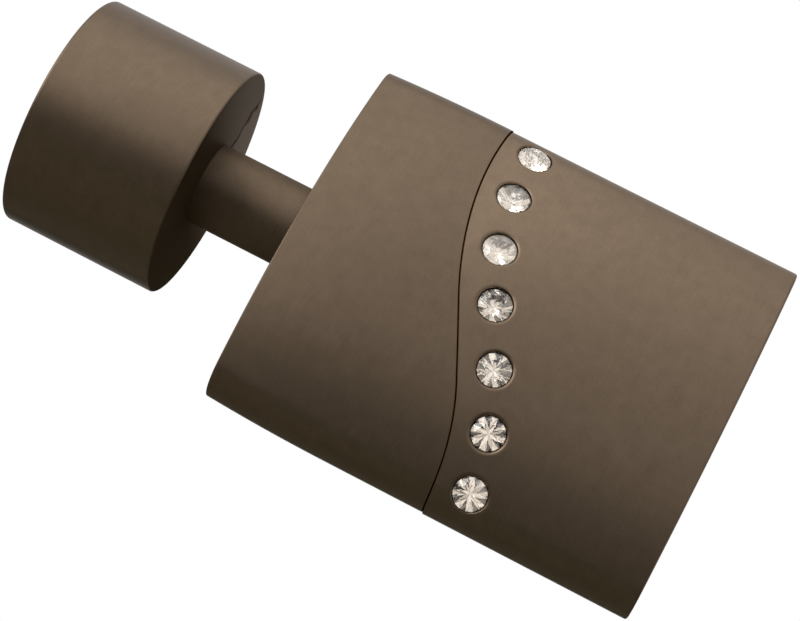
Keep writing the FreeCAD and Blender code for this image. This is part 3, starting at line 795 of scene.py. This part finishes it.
class Shell:
    """Collects faces, merging vertices that meet, with a direction at every corner."""

    def __init__(self):
        self.places = []
        self.known = {}
        self.faces = []
        self.directions = []
        self.finishes = []
        self.finish = 0

    def vertex(self, point):
        """The number of the vertex here; corners within a micron share one."""
        cells = [{math.floor(c * CELLS_PER_MM + shift) for shift in CELL_SHIFTS} for c in point]
        keys = [(x, y, z) for x in cells[0] for y in cells[1] for z in cells[2]]
        for key in keys:
            if key in self.known:
                return self.known[key]
        self.known.update((key, len(self.places)) for key in keys)
        self.places.append(point)
        return len(self.places) - 1

    def add(self, corners):
        """Add a face from (point, direction) corners; repeated points drop out."""
        kept = []
        for point, direction in corners:
            index = self.vertex(point)
            if index not in [i for i, _ in kept]:
                kept.append((index, direction))
        if len(kept) > 2:
            self.faces.append([i for i, _ in kept])
            self.directions += [d for _, d in kept]
            self.finishes.append(self.finish)

    def add_flat(self, points, direction):
        """One flat face over all these points, turned to face this way."""
        if normal(points).dot(direction) < 0.0:
            points = points[::-1]
        self.add([(point, direction) for point in points])

    def add_rows(self, rows, finish=0):
        """Quads between each row of (point, direction) and the next, facing outwards."""
        self.finish = finish
        for first, second in zip(rows, rows[1:]):
            for i in range(len(first) - 1):
                self.add_outward([first[i], first[i + 1], second[i + 1], second[i]])
        self.finish = 0

    def add_outward(self, corners):
        """Add a face, turned to agree with the directions at its corners."""
        a, b, c = (corners[k][0] for k in (0, 1, 2))
        facing = (b - a).cross(c - a)
        if len(corners) == 4:
            facing += (c - a).cross(corners[3][0] - a)
        if facing.dot(corners[0][1] + corners[2][1]) < 0.0:
            corners = corners[::-1]
        self.add(corners)

    def to_piece(self, name, *materials):
        """A Blender object of all the faces; a face's finish picks its material."""
        mesh = bpy.data.meshes.new(name)
        mesh.from_pydata([p * MM for p in self.places], [], self.faces)
        for material in materials:
            mesh.materials.append(material)
        for face, finish in zip(mesh.polygons, self.finishes):
            face.use_smooth = True
            face.material_index = finish
        mesh.normals_split_custom_set([tuple(d.normalized()) for d in self.directions])
        return new_object(name, mesh)


print("points closer than %.3f mm are merged" % (0.5 / CELLS_PER_MM))

# %% [markdown]
# Both head parts share the way their edges end: a quarter circle turns over at the flat end,
# another one beside the seam, and a wall closes the cut between them. Real edges are never
# quite sharp, and at the flat ends a small round catches the light along them. The wall and the
# round beside the seam are painted darker than the skin, as painted shade, because hardly any
# light gets into the gap.

# %% Shape what both head parts share
COLUMNS = 240
EDGE_STEPS = 4
SEAM_EDGE_ROUND = 0.09
SIDE_STEP = 0.05
arounds = [GIRTH * i / COLUMNS for i in range(COLUMNS + 1)]


def skin_corner(x, around, depth, level, tilt, toward):
    """A point sunk under the skin, with its direction tilted towards a side."""
    drop, rise = crown(x) if level == 0.0 else (0.0, 0.0)
    point, outward = head_surface(x, around, drop, rise, level)
    return (point - outward * depth,
            outward * math.cos(tilt) + toward * math.sin(tilt))


def quarter(step, radius):
    """Sideways place, depth and tilt at a step of a quarter circle, edge first."""
    tilt = math.pi / 2 * (1.0 - step / EDGE_STEPS)
    return radius * (1.0 - math.sin(tilt)), radius * (1.0 - math.cos(tilt)), tilt


def seam_side(height, sign):
    """Direction across the seam, in the plane of the face, at this height."""
    ahead = seam_x(height - SIDE_STEP, 0.0) - seam_x(height + SIDE_STEP, 0.0)
    return Vector((2 * SIDE_STEP, 0.0, ahead)).normalized() * sign


def heights_round(level):
    """How high the skin stands at every column."""
    return [head_surface(0.0, a, 0.0, 0.0, level)[0].z for a in arounds]


def end_rows(x, way, radius, level):
    """The rounded edge of a flat end, from the end face to the skin."""
    rows = []
    for step in range(EDGE_STEPS + 1):
        place, depth, tilt = quarter(step, radius)
        rows.append([skin_corner(x - way * place, a, depth, level, tilt,
                                 Vector((way, 0.0, 0.0))) for a in arounds])
    return rows


def seam_rows(offset, sign, level, heights):
    """The rounded edge beside the seam, from the wall of the cut to the skin."""
    rows = []
    for step in range(EDGE_STEPS + 1):
        place, depth, tilt = quarter(step, SEAM_EDGE_ROUND)
        rows.append([skin_corner(seam_x(height, offset - sign * place), a, depth, level, tilt,
                                 seam_side(height, sign))
                     for a, height in zip(arounds, heights)])
    return rows


def close_seam(shell, edge, sign, heights, ridge=0.0):
    """The wall of the cut, with a low ridge half-way in that leaves no view through the gap."""
    # the wall of the cut takes the seam's painted shade
    shell.finish = 1
    half = COLUMNS // 2
    for i in range(-half // 2, half // 2):
        facing = seam_side(heights[i % COLUMNS], sign)
        back = [edge[k % COLUMNS][0] for k in (i, i + 1)]
        front = [edge[(half - k) % COLUMNS][0] for k in (i, i + 1)]
        swell = [ridge if abs(k) < half // 2 else 0.0 for k in (i, i + 1)]
        middle = [(b + f) / 2 + Vector((rise, 0.0, 0.0))
                  for b, f, rise in zip(back, front, swell)]
        for side in (back, front):
            shell.add_outward([(point, facing)
                               for point in (side[0], side[1], middle[1], middle[0])])
    shell.finish = 0


print("columns every %.2f mm" % (GIRTH / COLUMNS))

# %% [markdown]
# ## The part next to the neck
# This half is plain, and slightly crowned towards the neck. Its skin is a grid: columns run
# round the girth, and each column runs from the flat end to the seam. Both ends turn over in
# a small quarter circle. Rows of a grid are enough here because nothing interrupts the skin.

# %% Shape the inner part
INNER_END_ROUND = 0.15
SKIN_ROWS = 26


def shape_inner_part():
    shell = Shell()
    left = Vector((-1.0, 0.0, 0.0))
    heights = heights_round(0.0)
    rows = end_rows(HEAD_START, -1.0, INNER_END_ROUND, 0.0)
    start = HEAD_START + INNER_END_ROUND
    stops = [seam_x(height, -SEAM_EDGE_ROUND) for height in heights]
    for step in range(1, SKIN_ROWS + 1):
        share = step / SKIN_ROWS
        rows.append([skin_corner(start + (stop - start) * share, a, 0.0, 0.0, 0.0, left)
                     for a, stop in zip(arounds, stops)])
    shell.add_rows(rows)
    edge = seam_rows(0.0, 1.0, 0.0, heights)
    # the round beside the seam takes the seam's painted shade
    shell.add_rows(edge[::-1], finish=1)
    shell.add_flat([point for point, _ in rows[0][:-1]], left)
    close_seam(shell, edge[0], 1.0, heights, SEAM_GAP)
    return shell


inner_part = shape_inner_part().to_piece("inner_head", brown_metal, seam_shade_metal)
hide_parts("inner_body")
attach(inner_part, "root")
print("inner part: %d faces" % len(inner_part.data.polygons))

# %% [markdown]
# ## The part with the crystals
# The stones stand in a row beside the seam, at one distance from it. Their heights on the face
# were measured, since the gaps between them aren't quite equal. The rest follows: the seam's
# line gives the place along the axis, and the face's arc gives the depth and the way each
# stone looks, so every pocket is square to the face.

# %% Place the crystals
CRYSTAL_HEIGHTS = (22.3, 14.7, 6.65, -0.6, -8.25, -15.6, -22.9)
CRYSTAL_OFFSET = 4.62
FRONT_MIDDLE = GIRTH / 2


def crystal_seats():
    """Place on the unrolled skin, point on the face and outward axis of every crystal."""
    seats = []
    for height in CRYSTAL_HEIGHTS:
        lift = math.asin((height + STEP_DOWN) / BROAD_RADIUS)
        x = seam_x(height, CRYSTAL_OFFSET + SEAM_GAP)
        around = FRONT_MIDDLE - BROAD_RADIUS * lift
        point, _ = head_surface(x, around, 0.0, 0.0, -STEP_DOWN)
        axis = Vector((0.0, -math.cos(lift), math.sin(lift)))
        seats.append((x, around, point, axis))
    return seats


seats = crystal_seats()
print("crystals at", [tuple(round(c, 1) for c in point) for _, _, point, _ in seats])

# %% [markdown]
# Seven round pockets interrupt this skin, so rows and columns no longer fit. The pockets could
# be cut out with booleans, but the cuts would spoil the smooth shading round them. The skin of
# a straight bar can be unrolled without stretching, though. It is laid out flat as a sheet,
# the seam and the pockets are drawn on it, a constrained triangulation fills the rest, and
# each point is rolled back onto the oval. The photograph shows this part a little brighter
# beside the seam, as if its face rolled over very gently, so the directions lean that way.

# %% Unroll the outer part's skin and fill it
SHEET_STEP = 1.2
SHEET_MERGE = 1e-5
SHEET_SLACK = 1e-4
LIP_WIDTH = 0.5
LIP_SIDES = 72
LIP_BORDER = 0.35
LIP_CLEAR = 1.8 * LIP_BORDER
POCKET_RADIUS = 2.325
SEAM_ROLL_REACH = 26.0
SEAM_ROLL = (0.05, 0.14)
SEAM_ROLL_LOW = -5.0
SEAM_ROLL_RISE = 20.0


def seam_roll(x, height):
    """How much the far part's face leans towards the seam at this place."""
    near = max(1.0 - (x - seam_x(height, SEAM_GAP)) / SEAM_ROLL_REACH, 0.0)
    upper = min(max((height - SEAM_ROLL_LOW) / SEAM_ROLL_RISE, 0.0), 1.0)
    low, high = SEAM_ROLL
    return Vector((-(low + (high - low) * upper) * near ** 2, 0.0, 0.0))


def sheet_corner(x, around):
    """A point of the flat sheet, rolled back onto the head."""
    point, outward = skin_corner(x, around, 0.0, -STEP_DOWN, 0.0, Vector())
    return point, outward + seam_roll(x, point.z)


def circle(x, around, radius):
    """A ring of places on the sheet."""
    turns = (2 * math.pi * k / LIP_SIDES for k in range(LIP_SIDES))
    return [(x + radius * math.cos(t), around + radius * math.sin(t)) for t in turns]


def interpolate(line, around):
    """The line's x at this place round the girth."""
    place = min(max(around / GIRTH * COLUMNS, 0.0), COLUMNS)
    i = min(int(place), COLUMNS - 1)
    return line[i][0] + (line[i + 1][0] - line[i][0]) * (place - i)


def outside_pockets(x, around, room):
    """Whether a place on the sheet is clear of every lip, with this much room."""
    return all(math.hypot(x - cx, around - ca) > POCKET_RADIUS + LIP_WIDTH + room
               for cx, ca, _, _ in seats)


def fill_sheet(shell, left_line, right_x):
    """Triangulate the unrolled skin between the seam and the far end, round the pockets."""
    points, edges = [], []
    outline = list(left_line) + [(right_x, a) for a in reversed(arounds)]
    rings = [circle(x, around, POCKET_RADIUS + LIP_WIDTH + grow)
             for x, around, _, _ in seats for grow in (0.0, LIP_BORDER)]
    for line in [outline] + rings:
        first = len(points)
        points.extend(Vector(place) for place in line)
        last = len(points) - 1
        edges.extend((i, i + 1) for i in range(first, last))
        edges.append((last, first))
    for low, around in left_line:
        count = max(1, int((right_x - low) / SHEET_STEP))
        for k in range(1, count):
            x = low + (right_x - low) * k / count
            if outside_pockets(x, around, LIP_CLEAR):
                points.append(Vector((x, around)))
    made = delaunay_2d_cdt(points, edges, [], 0, SHEET_MERGE)
    for face in made[2]:
        spots = [made[0][i] for i in face]
        centre = sum(spots, Vector((0.0, 0.0))) / 3
        in_sheet = interpolate(left_line, centre.y) - SHEET_SLACK <= centre.x <= right_x
        if in_sheet and outside_pockets(centre.x, centre.y, 0.0):
            shell.add_outward([sheet_corner(spot.x, spot.y) for spot in spots])


print("sheet: %.1f by %.1f mm" % (HEAD_END - seam_x(HALF_WIDTH, 0.0), GIRTH))

# %% [markdown]
# A pocket is a rounded lip, a straight wall and a flat floor. A bevel could round the lip, but
# only evenly. Here it is a quarter of an oval, wider than it is deep, which gives the soft
# shade round every stone in the photograph.

# %% Shape one pocket
LIP_STEPS = 6
LIP_DEPTH = 0.2
POCKET_DEPTH = 2.795


def shape_pocket(shell, x, around, axis):
    """The rounded lip, the straight wall and the floor of one pocket."""
    middle, _ = sheet_corner(x, around)
    rows = []
    for step in range(LIP_STEPS + 1):
        tilt = math.pi / 2 * step / LIP_STEPS
        radius = POCKET_RADIUS + LIP_WIDTH * (1.0 - math.sin(tilt))
        depth = LIP_DEPTH * (1.0 - math.cos(tilt))
        row = []
        for spot_x, spot_around in circle(x, around, radius):
            spot, outward = sheet_corner(spot_x, spot_around)
            inward = (middle - spot).normalized()
            row.append((spot - axis * depth, outward * LIP_WIDTH * math.cos(tilt)
                        + inward * LIP_DEPTH * math.sin(tilt)))
        rows.append(row + row[:1])
    bottom = [(point - axis * (POCKET_DEPTH + axis.dot(point - middle)), direction)
              for point, direction in rows[-1]]
    shell.add_rows(rows + [bottom])
    floor = [point for point, _ in bottom[:-1]]
    centre = sum(floor, Vector()) / len(floor)
    for i, point in enumerate(floor):
        shell.add_outward([(p, axis) for p in (centre, point, floor[(i + 1) % LIP_SIDES])])


print("pocket: %.2f mm wide, %.2f mm deep" % (2 * POCKET_RADIUS, POCKET_DEPTH))

# %% [markdown]
# Now the far part is put together: the filled sheet, the rounded edge along the seam and the
# wall of the cut, the rounded far end with its flat face, and the seven pockets. All of it
# goes into one closed mesh, because it is one solid bar. It lies a little lower than its
# neighbour, which leaves the small step at both ends of the seam.

# %% Shape the outer part
OUTER_END_ROUND = 0.35


def shape_outer_part():
    shell = Shell()
    heights = heights_round(-STEP_DOWN)
    left_line = [(seam_x(height, SEAM_GAP + SEAM_EDGE_ROUND), a)
                 for a, height in zip(arounds, heights)]
    fill_sheet(shell, left_line, HEAD_END - OUTER_END_ROUND)
    edge = seam_rows(SEAM_GAP, -1.0, -STEP_DOWN, heights)
    # the round beside the seam takes the seam's painted shade
    shell.add_rows(edge, finish=1)
    close_seam(shell, edge[0], -1.0, heights)
    rows = end_rows(HEAD_END, 1.0, OUTER_END_ROUND, -STEP_DOWN)
    shell.add_rows(rows)
    shell.add_flat([point for point, _ in rows[0][:-1]], Vector((1.0, 0.0, 0.0)))
    for x, around, _, axis in seats:
        shape_pocket(shell, x, around, axis)
    return shell


outer_part = shape_outer_part().to_piece("outer_head", outer_metal_painted_light, seam_shade_metal)
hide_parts("outer_body")
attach(outer_part, "root")
print("outer part: %d faces" % len(outer_part.data.polygons))

# %% [markdown]
# ## The crystals
# A stone is cut the way a cutter does it: a short prism is the rough stone, and each facet is
# one flat cut at its own slope and its own turn. Rings of the same cut make a family: eight
# main facets and eight star facets round the table, sixteen small ones on either side of the
# girdle and eight long ones that meet in a point below. Bisecting a mesh with a plane does
# just that, and the facets come out truly flat. The lower facets are marked as foil-backed,
# and each gets a tone that follows the way it faces: a painted reflection of dark and bright
# wedges.

# %% Cut one stone
CRYSTAL_RADIUS = 2.225
CROWN_HEIGHT = 0.55
GIRDLE_HEIGHT = 0.12
TABLE_RADIUS = 1.25
MAIN_FACETS = 8
SMALL_FACETS = 16
STONE_DEPTH = GIRDLE_HEIGHT + CRYSTAL_RADIUS
main_slope = math.degrees(math.atan(CROWN_HEIGHT / (CRYSTAL_RADIUS - TABLE_RADIUS)))
star_radius = TABLE_RADIUS * math.cos(math.pi / MAIN_FACETS)
girdle_radius = CRYSTAL_RADIUS * math.cos(math.pi / SMALL_FACETS)
# painted reflection: foil tones by facet direction paint dark and bright wedges
PAINTED_WEDGE_TONES = (1.0, 0.85, 1.0, 0.1, 0.8, 1.0, 1.0, 0.0,
              1.0, 0.75, 1.0, 0.1, 0.7, 1.0, 1.0, 0.05)
TONE_TURN = 180.0 / len(PAINTED_WEDGE_TONES)
CUT_REACH = 1e-5
FACET_MERGE = 1e-4
BACKED_BELOW = -0.01
FACET_FAMILIES = [
    # how many, turn of the first, radius and level of a point on it, slope
    (MAIN_FACETS, 0.0, TABLE_RADIUS, CROWN_HEIGHT, main_slope),
    (MAIN_FACETS, 22.5, star_radius, CROWN_HEIGHT, 18.0),
    (SMALL_FACETS, 11.25, girdle_radius, 0.0, 37.0),
    (SMALL_FACETS, 11.25, girdle_radius, -GIRDLE_HEIGHT, -42.5),
    (MAIN_FACETS, 0.0, CRYSTAL_RADIUS, -GIRDLE_HEIGHT, -41.0),
]


def cut_facet(shape, turn, radius, level, slope):
    """Take off what stands proud of one plane, and close the cut with one flat face."""
    across, up = math.sin(abs(slope)), math.cos(slope)
    point = Vector((radius * math.cos(turn), radius * math.sin(turn), level))
    facing = Vector((across * math.cos(turn), across * math.sin(turn),
                     up if slope > 0.0 else -up))
    cut = bmesh.ops.bisect_plane(
        shape, geom=shape.verts[:] + shape.edges[:] + shape.faces[:], dist=CUT_REACH,
        plane_co=point, plane_no=facing, clear_outer=True)
    rim = [item for item in cut["geom_cut"] if isinstance(item, bmesh.types.BMEdge)]
    if rim:
        bmesh.ops.edgeloop_fill(shape, edges=rim)


def cut_stone():
    """The stone as a closed mesh; the facets below the girdle are marked as foil-backed."""
    shape = bmesh.new()
    middle = (CROWN_HEIGHT - STONE_DEPTH) / 2
    bmesh.ops.create_cone(shape, cap_ends=True, segments=SMALL_FACETS,
                          radius1=CRYSTAL_RADIUS, radius2=CRYSTAL_RADIUS,
                          depth=CROWN_HEIGHT + STONE_DEPTH,
                          matrix=Matrix.Translation((0.0, 0.0, middle)))
    for count, first, radius, level, slope in FACET_FAMILIES:
        for k in range(count):
            cut_facet(shape, math.radians(first + 360.0 * k / count), radius, level,
                      math.radians(slope))
    bmesh.ops.remove_doubles(shape, verts=shape.verts, dist=FACET_MERGE)
    bmesh.ops.recalc_face_normals(shape, faces=shape.faces)
    bmesh.ops.scale(shape, verts=shape.verts, vec=(MM, MM, MM))
    mesh = bpy.data.meshes.new("stone")
    mesh.materials.append(glass)
    shape.to_mesh(mesh)
    shape.free()
    for name, kind in (("backed", "BOOLEAN"), ("foil_tone", "FLOAT")):
        mesh.attributes.new(name, kind, "FACE")
    backed, wedge_tone = mesh.attributes["backed"], mesh.attributes["foil_tone"]
    for number, face in enumerate(mesh.polygons):
        backed.data[number].value = face.center.z < BACKED_BELOW * MM
        # painted reflection: each facet's foil tone follows the way it faces
        turn = math.degrees(math.atan2(face.normal.y, face.normal.x))
        wedge_tone.data[number].value = PAINTED_WEDGE_TONES[round(turn / TONE_TURN) % len(PAINTED_WEDGE_TONES)]
    return mesh


stone_mesh = cut_stone()
stone_levels = [vertex.co.z / MM for vertex in stone_mesh.vertices]
print("stone: %d facets, %.2f mm deep" % (
    len(stone_mesh.polygons), max(stone_levels) - min(stone_levels)))

# %% [markdown]
# The stones are all alike, so one is cut and Geometry Nodes set it seven times. Each seat is a
# point that carries the way out of the face. The tree sinks the point a little, stands the
# stone square to the face, gives each stone its own turn, as nobody lines up the facets by
# hand, and puts foil on the marked facets. Seven copies could be placed by a loop instead, but
# with a tree the row follows the points, and its depth and turn stay two named numbers.

# %% Set the stones
STONE_RECESS = 0.35
TURN_BETWEEN_STONES = math.radians(17.0)
# painted light: the foil of the upper three stones is painted brighter
STONE_PAINTED_LIGHT = (0.9, 0.6, 0.7, 0.12, 0.12, 0.0, 0.12)


def build_setting_tree():
    tree, given, result = new_tree("set_stones", [
        ("Stone", "NodeSocketObject"), ("Recess", "NodeSocketFloat"),
        ("Turn Between", "NodeSocketFloat"), ("Glass", "NodeSocketMaterial"),
        ("Foil", "NodeSocketMaterial")])
    outward = add_node(tree, "GeometryNodeInputNamedAttribute", data_type="FLOAT_VECTOR",
                       Name="outward")
    sink = add_node(tree, "ShaderNodeVectorMath", operation="SCALE", Vector=outward,
                    Scale=calculate(tree, "MULTIPLY", given["Recess"], -1.0))
    place = add_node(tree, "GeometryNodeSetPosition", Geometry=given["Geometry"], Offset=sink)
    square = add_node(tree, "FunctionNodeAlignRotationToVector", axis="Z", Vector=outward)
    turn = calculate(tree, "MULTIPLY", tree.nodes.new("GeometryNodeInputIndex"),
                     given["Turn Between"])
    spin = add_node(tree, "FunctionNodeAxisAngleToRotation", Axis=(0.0, 0.0, 1.0), Angle=turn)
    own = add_node(tree, "FunctionNodeRotateRotation", rotation_space="LOCAL",
                   Rotation=square, Rotate_By=spin)
    stone = add_node(tree, "GeometryNodeObjectInfo", Object=given["Stone"])
    setting = add_node(tree, "GeometryNodeInstanceOnPoints", Points=place,
                       Instance=stone.outputs["Geometry"], Rotation=own)
    real = add_node(tree, "GeometryNodeRealizeInstances", Geometry=setting)
    clear = add_node(tree, "GeometryNodeSetMaterial", Geometry=real, Material=given["Glass"])
    backed = add_node(tree, "GeometryNodeInputNamedAttribute", data_type="BOOLEAN",
                      Name="backed")
    fill(result, add_node(tree, "GeometryNodeSetMaterial", Geometry=clear, Selection=backed,
                          Material=given["Foil"]))
    return tree


def set_stones():
    stone = new_object("stone", stone_mesh)
    mesh = bpy.data.meshes.new("crystal_row")
    mesh.from_pydata([point * MM for _, _, point, _ in seats], [], [])
    for name, kind in (("outward", "FLOAT_VECTOR"), ("foil_brightness", "FLOAT")):
        mesh.attributes.new(name, kind, "POINT")
    for number, (_, _, _, axis) in enumerate(seats):
        mesh.attributes["outward"].data[number].vector = axis
        mesh.attributes["foil_brightness"].data[number].value = STONE_PAINTED_LIGHT[number]
    row = run_tree("crystal_row", mesh, build_setting_tree(), Stone=stone,
                   Recess=STONE_RECESS * MM, Turn_Between=TURN_BETWEEN_STONES,
                   Glass=glass, Foil=foil)
    bpy.data.objects.remove(stone)
    return row


crystals = set_stones()
print("crystals:", len(crystals.data.polygons), [m.name for m in crystals.data.materials])
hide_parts(*["crystal_%d" % k for k in range(1, 8)])
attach(crystals, "root")

# %% [markdown]
# ## The small steel parts
# The grub screw, the fixing screw and the two pins keep the measured shapes, since their
# outlines are already right. They get bright brushed steel, because they are bought parts that
# are never lacquered.

# %% Give the steel parts their finish
STEEL_PARTS = ("grub_screw", "fixing_screw", "upper_pin", "lower_pin")
for part_name in STEEL_PARTS:
    part_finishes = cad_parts[part_name].data.materials
    part_finishes.clear()
    part_finishes.append(steel)
print("steel parts:", STEEL_PARTS)
